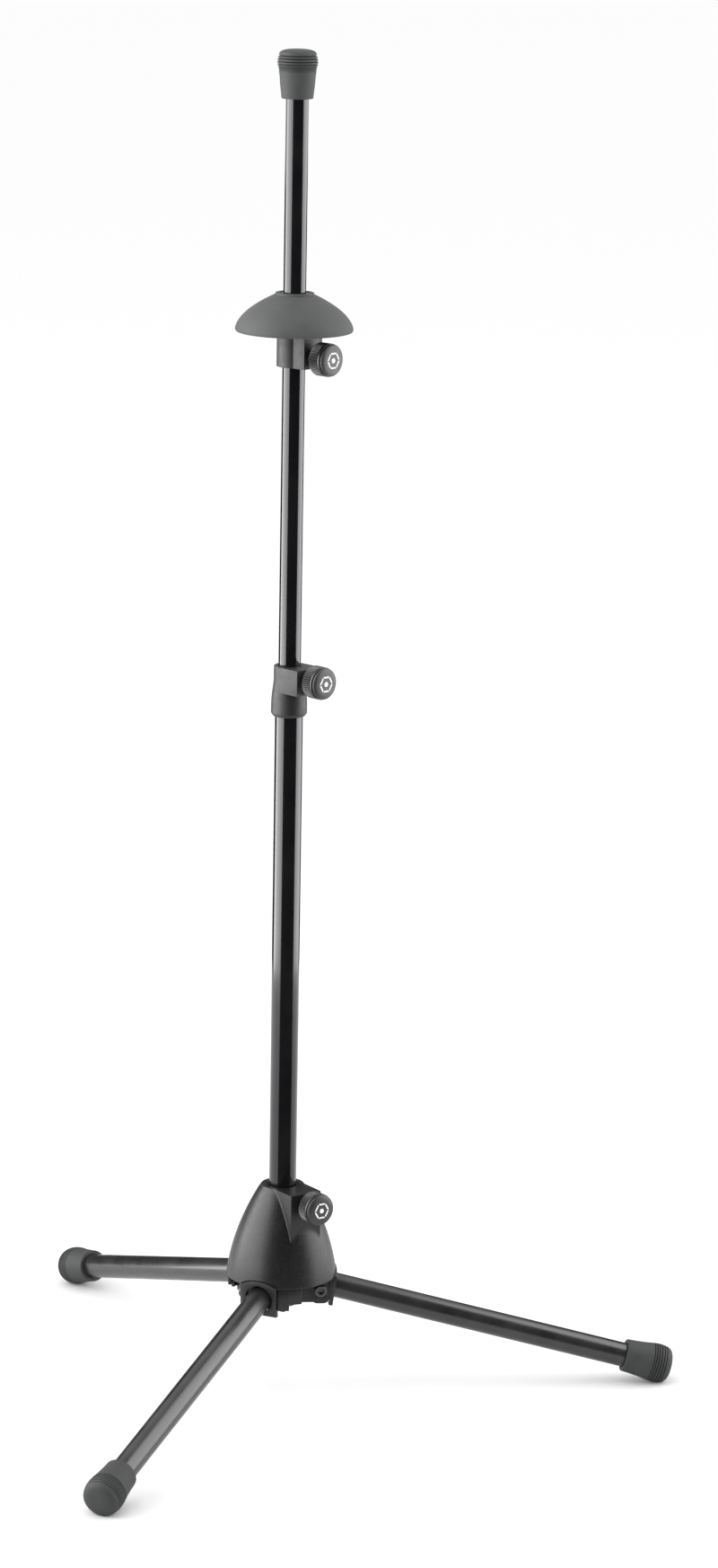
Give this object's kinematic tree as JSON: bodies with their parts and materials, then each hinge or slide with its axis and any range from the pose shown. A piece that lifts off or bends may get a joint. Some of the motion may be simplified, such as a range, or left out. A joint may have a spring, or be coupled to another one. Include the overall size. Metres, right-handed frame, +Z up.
{
  "type": "trombone stand",
  "caption": "Tall folding tripod stand for a trombone, with a telescoping screw-clamped pole, a sliding rubber cone for the bell and a rubber-capped post.",
  "frame": {"origin": "middle of the rectangle round the three feet, on the floor; the pole axis stands at y = -0.0667 m", "axes": "+Z up along the pole; the back leg points along +Y, the hub's clamp knob faces -Y"},
  "size_m": [0.513, 0.4476, 0.9788],
  "materials": {
    "gloss_tube": "gloss black enamel on steel",
    "leg_tube": "satin black powder coat on steel",
    "hub_cast": "fine-textured black powder coat on a die casting",
    "leg_socket": "fine-textured black powder coat",
    "foot_rubber": "matte dark grey moulded rubber",
    "cap_rubber": "matte dark grey moulded rubber with fine ribs",
    "cone_rubber": "smooth satin dark grey moulded rubber",
    "clamp_plastic": "matte black moulded plastic",
    "knob_plastic": "matte black moulded plastic, knurled edge",
    "knob_cap_plastic": "satin black moulded plastic, small printed mark",
    "screw_steel": "dark zinc-plated steel",
    "bush_nylon": "black nylon"
  },
  "bodies": {
    "base": {"hub_casting": "hub_cast", "hub_clamp_pad": "bush_nylon", "leg_back_pivot_screw": "screw_steel", "leg_back_pivot_nut": "screw_steel", "leg_left_pivot_screw": "screw_steel", "leg_left_pivot_nut": "screw_steel", "leg_right_pivot_screw": "screw_steel", "leg_right_pivot_nut": "screw_steel"},
    "leg_back": {"leg_back_socket": "leg_socket", "leg_back_tube": "leg_tube", "leg_back_foot": "foot_rubber"},
    "leg_left": {"leg_left_socket": "leg_socket", "leg_left_tube": "leg_tube", "leg_left_foot": "foot_rubber"},
    "leg_right": {"leg_right_socket": "leg_socket", "leg_right_tube": "leg_tube", "leg_right_foot": "foot_rubber"},
    "hub_knob": {"hub_knob": "knob_plastic", "hub_knob_cap": "knob_cap_plastic", "hub_clamp_screw": "screw_steel"},
    "pole": {"lower_tube": "gloss_tube", "lower_end_stop": "clamp_plastic", "mid_clamp_sleeve": "clamp_plastic", "mid_bush": "bush_nylon", "mid_clamp_pad": "bush_nylon"},
    "mid_knob": {"mid_knob": "knob_plastic", "mid_knob_cap": "knob_cap_plastic", "mid_clamp_screw": "screw_steel"},
    "post_guide": {"upper_guide": "bush_nylon"},
    "post": {"upper_tube": "gloss_tube", "top_cap": "cap_rubber"},
    "cone_liner": {"cone_liner": "bush_nylon"},
    "cone": {"cone_carrier": "clamp_plastic", "cone_dish": "cone_rubber", "cone_clamp_pad": "bush_nylon"},
    "cone_knob": {"cone_knob": "knob_plastic", "cone_knob_cap": "knob_cap_plastic", "cone_clamp_screw": "screw_steel"}
  },
  "joints": [
    {"name": "leg_back_fold", "type": "hinge", "parent": "base", "child": "leg_back", "pos_m": [0, -0.0392, 0.0802], "axis": [-1, 0, 0], "range_deg": [0, 74]},
    {"name": "leg_left_fold", "type": "hinge", "parent": "base", "child": "leg_left", "pos_m": [-0.02382, -0.08045, 0.0802], "axis": [0.5, -0.866, 0], "range_deg": [0, 74]},
    {"name": "leg_right_fold", "type": "hinge", "parent": "base", "child": "leg_right", "pos_m": [0.02382, -0.08045, 0.0802], "axis": [0.5, 0.866, 0], "range_deg": [0, 74]},
    {"name": "pole_slide", "type": "slide", "parent": "base", "child": "pole", "axis": [0, 0, -1], "range_m": [0, 0.34]},
    {"name": "upper_slide", "type": "slide", "parent": "pole", "child": "post_guide", "axis": [0, 0, 1], "range_m": [-0.13, 0.03]},
    {"name": "upper_turn", "type": "hinge", "parent": "post_guide", "child": "post", "pos_m": [0, -0.0667, 0.475], "axis": [0, 0, 1], "continuous": true},
    {"name": "cone_slide", "type": "slide", "parent": "post", "child": "cone_liner", "axis": [0, 0, 1], "range_m": [-0.07, 0.12]},
    {"name": "cone_turn", "type": "hinge", "parent": "cone_liner", "child": "cone", "pos_m": [0, -0.0667, 0.79], "axis": [0, 0, 1], "continuous": true},
    {"name": "hub_knob_turn", "type": "hinge", "parent": "base", "child": "hub_knob", "pos_m": [0, -0.1087, 0.1498], "axis": [0, -1, 0], "range_deg": [0, 540]},
    {"name": "mid_knob_turn", "type": "hinge", "parent": "pole", "child": "mid_knob", "pos_m": [0.00482, -0.0955, 0.5355], "axis": [0.165, -0.9863, 0], "range_deg": [0, 540]},
    {"name": "cone_knob_turn", "type": "hinge", "parent": "cone", "child": "cone_knob", "pos_m": [0.00657, -0.09515, 0.7657], "axis": [0.225, -0.9744, 0], "range_deg": [0, 540]}
  ]
}
